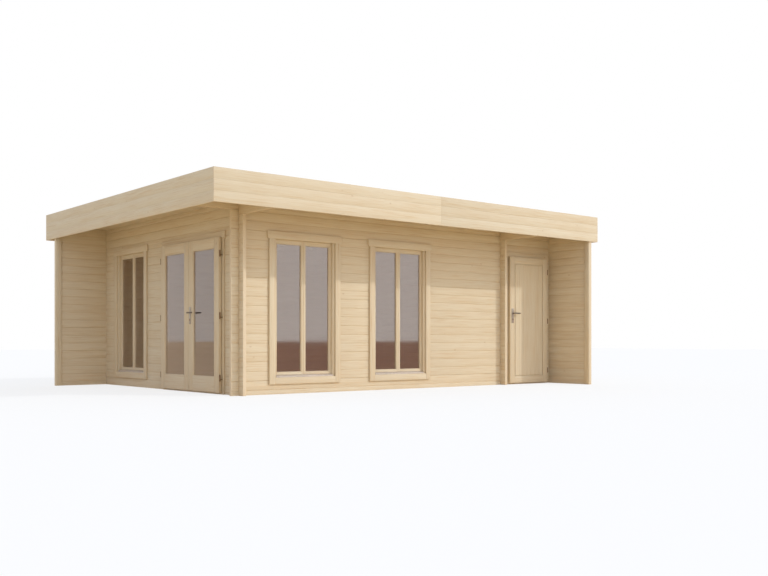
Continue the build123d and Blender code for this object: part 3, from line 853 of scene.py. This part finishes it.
class HOUSE_OT_store_door(bpy.types.Operator):
    """Frame the storeroom leaf and fill it with upright matched boards"""
    bl_idname = "garden_house.store_door"
    bl_label = "Storeroom door leaf"

    def execute(self, context):
        sizes = context.scene.house_sizes
        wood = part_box("store_leaf")
        panel = shrunk(wood, [ALONG_X, UPRIGHT], sizes.door_margin)
        bars("store_leaf_margin", ring_members(wood, panel, ALONG_X), finish("boards"), sizes.planed_edge,
             "store_leaf", ["store_leaf"])
        panel = shrunk(panel, [ALONG_Y], sizes.panel_recess)
        core = shrunk(panel, [ALONG_Y], sizes.panel_thickness)
        boarded = shrunk(panel, [ALONG_X, UPRIGHT], sizes.panel_groove)
        faces = [within(boarded, ALONG_Y, low, high)
                 for low, high in ((panel[0].y, core[0].y), (core[1].y, panel[1].y))]
        boards = [board for face in faces for board in matched_boards(face, ALONG_X, sizes.panel_board)]
        bars("store_leaf_boards", [core] + boards, finish("boards"), sizes.board_vee, "store_leaf",
             segments=1)
        return {"FINISHED"}


class HOUSE_OT_glazing(bpy.types.Operator):
    """Glaze the windows and the double door"""
    bl_idname = "garden_house.glazing"
    bl_label = "Glazing"

    def execute(self, context):
        for node in ("window_glass", "right_leaf_glass", "left_leaf_glass"):
            for slot in frame["nodes"][node].material_slots:
                slot.material = finish("glass")[0]
        return {"FINISHED"}


class HOUSE_OT_hinges(bpy.types.Operator):
    """Ease the browned hinges on the frames and leaves"""
    bl_idname = "garden_house.hinges"
    bl_label = "Hinges"

    def execute(self, context):
        edge = context.scene.house_sizes.metal_edge
        dressed("door_frame_hinges", finish("browned"), edge, "house")
        for leaf in ("right_leaf", "left_leaf", "store_leaf"):
            dressed(f"{leaf}_hinges", finish("browned"), edge, leaf)
        return {"FINISHED"}


class HOUSE_OT_handles(bpy.types.Operator):
    """Round the levers and plates, and set a lock cylinder and screws in each plate"""
    bl_idname = "garden_house.handles"
    bl_label = "Handles"

    def execute(self, context):
        sizes = context.scene.house_sizes
        pattern = None
        for leaf, lever in (("right_leaf", "right_lever"), ("store_leaf", "store_lever")):
            dressed(f"{leaf}_handle_plates", finish("steel"), sizes.metal_edge, leaf)
            dressed(f"{leaf}_lever", finish("lever"), sizes.lever_round, lever, segments=3)
            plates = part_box(f"{leaf}_handle_plates")
            spindle = middle(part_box(f"{leaf}_lever")).z
            pattern = pattern or plate_fittings(plates[0].z - spindle, plates[1].z - spindle, sizes)
            outward = 1 - wall_axis(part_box(leaf))
            for name, corner, turn in (("outer", plates[0], 0), ("inner", plates[1], 180)):
                spot = middle(plates)
                spot.z, spot[outward] = spindle, corner[outward]
                lock = place_copy(pattern, f"{leaf}_{name}_lock", spot, math.radians(turn + 90 * outward))
                end_piece(lock, leaf)
        bpy.data.objects.remove(pattern)
        return {"FINISHED"}


def plate_fittings(foot, top, sizes):
    """A lock cylinder and two screws for a plate that faces left, with the spindle at the origin."""
    piece = start_piece("plate_fittings", finish("steel") + finish("browned") + finish("keyway"))
    steel, browned = 0, 1
    tallness = sizes.lock_height / (2 * sizes.lock_radius)
    add_stud(piece, -sizes.lock_drop, sizes.lock_radius, tallness, browned, sizes)
    for height in (foot + sizes.screw_inset, top - sizes.screw_inset):
        add_stud(piece, height, sizes.screw_radius, 1.0, steel, sizes)
    bpy.ops.object.mode_set(mode="OBJECT")
    return piece


def add_stud(piece, height, radius, stretch, metal, sizes):
    """A head with an eased rim and a dark slot sunk in it, facing left, drawn out upright by a stretch."""
    spot = Vector((0.0, 0.0, height))
    rise = sizes.stud_rise
    rim, slot_depth, slot_share = rise * 0.4, rise * 0.8, 0.35
    sides, keyway = 24, 2

    def on_face(place):
        return place.x < MILLIMETRE / 100 - rise and (place - spot).length < radius * 2

    bpy.ops.mesh.select_all(action="DESELECT")
    bpy.ops.mesh.primitive_cylinder_add(vertices=sides, radius=radius, depth=rise * 2, end_fill_type="NGON",
                                        location=spot, rotation=(0.0, math.radians(90), 0.0))
    piece.active_material_index = metal
    bpy.ops.object.material_slot_assign()
    select_round(piece, on_face)
    bpy.ops.mesh.bevel(offset=rim, offset_type="OFFSET", segments=2, affect="EDGES")
    select_round(piece, on_face)
    bpy.ops.mesh.inset(thickness=radius / 2 - rim)
    bpy.ops.transform.resize(value=(1.0, slot_share, 1.0), center_override=spot)
    bpy.ops.mesh.extrude_region_move(TRANSFORM_OT_translate={"value": (slot_depth, 0.0, 0.0)})
    bpy.ops.mesh.select_more()
    piece.active_material_index = keyway
    bpy.ops.object.material_slot_assign()
    select_round(piece, lambda place: (place - spot).length < radius * 2)
    bpy.ops.transform.resize(value=(1.0, 1.0, stretch), center_override=spot)


def place_copy(source, name, spot, turn):
    """A copy of a piece with its own mesh, turned about Z and set at a spot."""
    piece = copied(name, source.data)
    piece.location, piece.rotation_euler = spot, (0.0, 0.0, turn)
    bpy.ops.object.transform_apply(location=True, rotation=True, scale=False)
    return piece


class HOUSE_OT_stage(bpy.types.Operator):
    """Set the camera, a soft key light, even light from all round and a pale floor"""
    bl_idname = "garden_house.stage"
    bl_label = "Stage"

    def execute(self, context):
        scene, stage = context.scene, context.scene.house_stage
        film_width, lamp_distance, ground_reach = 36.0, 20, 20
        bpy.ops.object.camera_add(location=stage.eye, rotation=(math.radians(90), 0.0, -stage.heading))
        camera = context.object
        camera.name = "garden_camera"
        camera.data.lens, camera.data.sensor_width, camera.data.shift_y = stage.lens, film_width, stage.rise
        camera.data.clip_end = stage.floor_size * 2
        scene.camera = camera

        for name, toward, energy, softness in (
                ("key_light", Vector(stage.to_sun), stage.sun_strength, stage.sun_softness),
                ("fill_light", Vector(stage.to_fill), stage.fill_strength, stage.fill_softness)):
            bpy.ops.object.light_add(type="SUN", location=toward * lamp_distance,
                                     rotation=toward.to_track_quat("Z", "Y").to_euler())
            lamp = context.object
            lamp.name = name
            lamp.data.energy, lamp.data.angle, lamp.data.color = energy, softness, stage.sun_tone

        world = bpy.data.worlds.new("studio_light")
        world.use_nodes = True
        tree = world.node_tree
        tree.nodes.clear()
        sky = add(tree, "Background", {
            "Color": opaque(stage.sky_tone), "Strength": stage.sky_strength})
        white = add(tree, "Background", {"Color": (1.0, 1.0, 1.0, 1.0), "Strength": 1.0})
        mixed = add(tree, "MixShader", {
            0: seen_directly(tree), 1: sky.outputs[0], 2: white.outputs[0]})
        add(tree, "OutputWorld", {"Surface": mixed.outputs[0]})
        scene.world = world

        bpy.ops.mesh.primitive_plane_add(size=stage.floor_size, location=(0.0, 0.0, cad_box[0].z))
        floor = context.object
        floor.name = "studio_floor"
        floor.data.materials.append(studio_floor(scene.house_colours))
        bpy.ops.object.transform_apply(location=True, rotation=False, scale=False)
        # A glowing plane that the camera and the light don't meet, a painted reflection of the ground in
        # panes and metal
        bpy.ops.mesh.primitive_plane_add(size=stage.floor_size * ground_reach,
                                         location=(0.0, 0.0, cad_box[0].z + MILLIMETRE))
        ground = context.object
        ground.name = "mirrored_ground"
        ground.data.materials.append(ground_reflection_glow(scene.house_colours))
        ground.visible_camera = ground.visible_diffuse = False
        ground.visible_shadow = ground.visible_transmission = False
        scene.view_settings.view_transform = "Standard"
        return {"FINISHED"}


class HOUSE_PT_panel(bpy.types.Panel):
    """Lists the steps in the order that main runs them"""
    bl_idname = "HOUSE_PT_panel"
    bl_label = "Garden House"
    bl_space_type = "VIEW_3D"
    bl_region_type = "UI"
    bl_category = "Garden House"

    def draw(self, context):
        for step in steps:
            self.layout.operator(step.bl_idname)
        for group in (context.scene.house_sizes, context.scene.house_colours, context.scene.house_stage):
            for name in group.__annotations__:
                self.layout.prop(group, name)


steps = (HOUSE_OT_log_walls, HOUSE_OT_trim_boards, HOUSE_OT_fascia, HOUSE_OT_roof, HOUSE_OT_floors,
         HOUSE_OT_windows, HOUSE_OT_door_frames, HOUSE_OT_double_door, HOUSE_OT_store_door, HOUSE_OT_glazing,
         HOUSE_OT_hinges, HOUSE_OT_handles, HOUSE_OT_stage)
classes = (HouseSizes, HouseColours, HouseStage, *steps, HOUSE_PT_panel)


def register():
    for item in classes:
        bpy.utils.register_class(item)
    bpy.types.Scene.house_sizes = PointerProperty(type=HouseSizes)
    bpy.types.Scene.house_colours = PointerProperty(type=HouseColours)
    bpy.types.Scene.house_stage = PointerProperty(type=HouseStage)


def unregister():
    del bpy.types.Scene.house_sizes, bpy.types.Scene.house_colours, bpy.types.Scene.house_stage
    for item in reversed(classes):
        bpy.utils.unregister_class(item)


def main():
    register()
    for step in steps:
        group, name = step.bl_idname.split(".")
        getattr(getattr(bpy.ops, group), name)()


if __name__ == "__main__":
    main()
